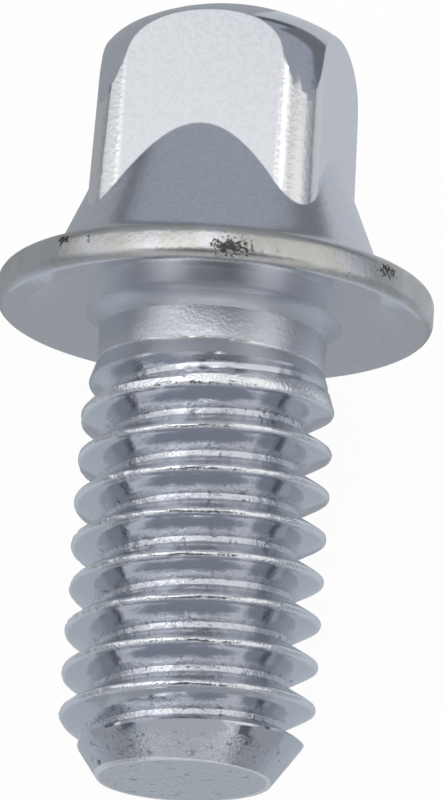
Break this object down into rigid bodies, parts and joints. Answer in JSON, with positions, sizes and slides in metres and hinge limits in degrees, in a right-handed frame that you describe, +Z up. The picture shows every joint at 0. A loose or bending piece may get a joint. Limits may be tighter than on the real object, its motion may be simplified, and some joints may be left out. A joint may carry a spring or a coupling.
{
  "type": "drum key screw",
  "caption": "Square-headed screw with a domed end, a round flange, a plain neck and a metric thread, laid on its side.",
  "frame": {"origin": "centre of the footprint of the screw as it lies, on the surface that it lies on", "axes": "+Z up, +Y along the screw from its point to its head, +X to the right seen from above with the head at the top; the screw's own axis rises towards the head by 11.2 degrees in the YZ plane"},
  "size_m": [0.01, 0.0182, 0.0099],
  "materials": {
    "plated_steel": "bright nickel-chrome plate on cold-formed steel, with small pits and nicks on the flange's rim and the thread"
  },
  "bodies": {
    "root": {"screw": "plated_steel"}
  },
  "joints": []
}
